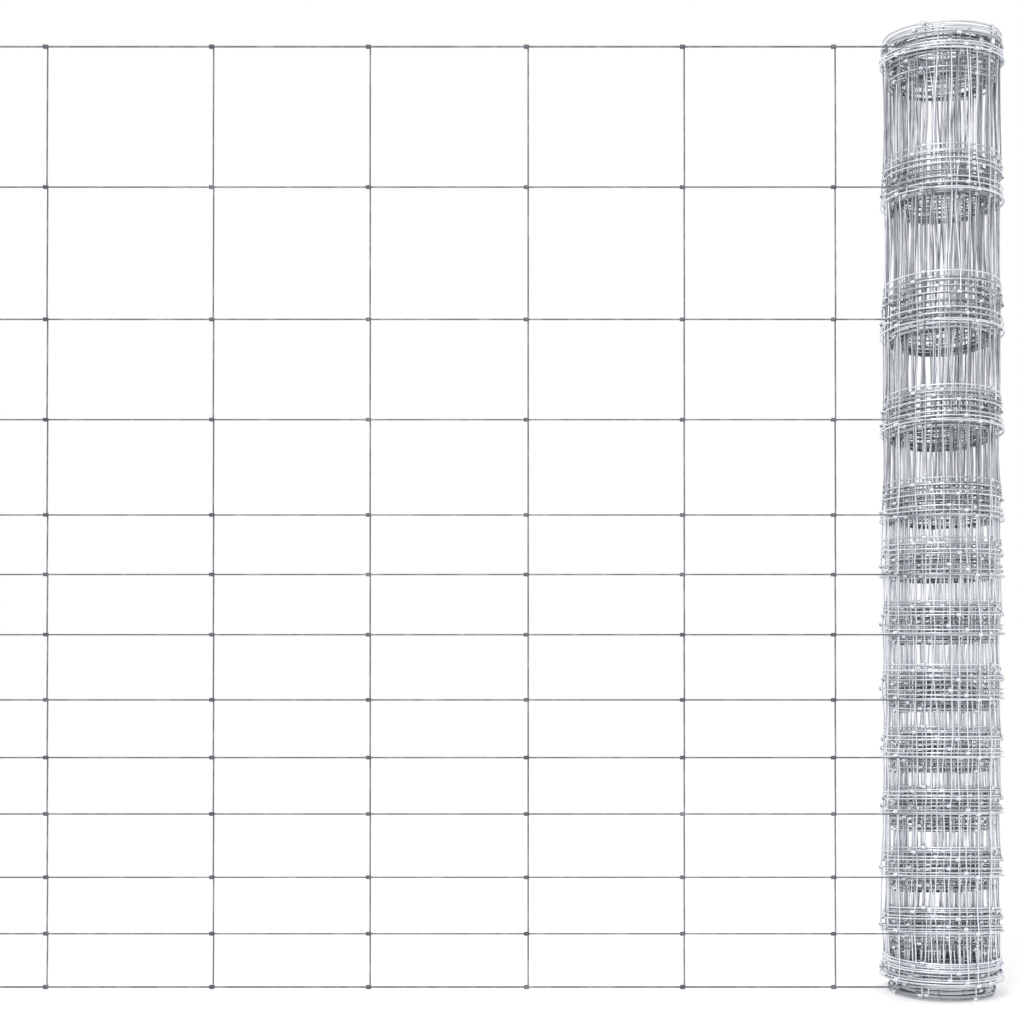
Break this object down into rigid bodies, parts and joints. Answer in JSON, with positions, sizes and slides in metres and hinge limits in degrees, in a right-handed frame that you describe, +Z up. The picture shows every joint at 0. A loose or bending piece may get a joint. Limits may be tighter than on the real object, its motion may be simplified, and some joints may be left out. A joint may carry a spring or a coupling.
{
  "type": "roll of wire fencing",
  "caption": "Roll of galvanised knotted field fence standing on its end, with its last stretch unrolled flat to one side.",
  "frame": {"origin": "on the roll's axis at floor level, where the innermost turn stands", "axes": "+Z up along the roll's axis; the loose end runs towards -X along the roll's front, which faces -Y"},
  "size_m": [1.673, 0.2042, 1.577],
  "materials": {
    "galvanised_wire": "satin"
  },
  "bodies": {
    "root": {"wound_roll": "galvanised_wire", "line_wire_01": "galvanised_wire", "line_wire_02": "galvanised_wire", "line_wire_03": "galvanised_wire", "line_wire_04": "galvanised_wire", "line_wire_05": "galvanised_wire", "line_wire_06": "galvanised_wire", "line_wire_07": "galvanised_wire", "line_wire_08": "galvanised_wire", "line_wire_09": "galvanised_wire", "line_wire_10": "galvanised_wire", "line_wire_11": "galvanised_wire", "line_wire_12": "galvanised_wire", "line_wire_13": "galvanised_wire", "stay_wire_1": "galvanised_wire", "stay_wire_2": "galvanised_wire", "stay_wire_3": "galvanised_wire", "stay_wire_4": "galvanised_wire", "stay_wire_5": "galvanised_wire", "stay_wire_6": "galvanised_wire"}
  },
  "joints": []
}
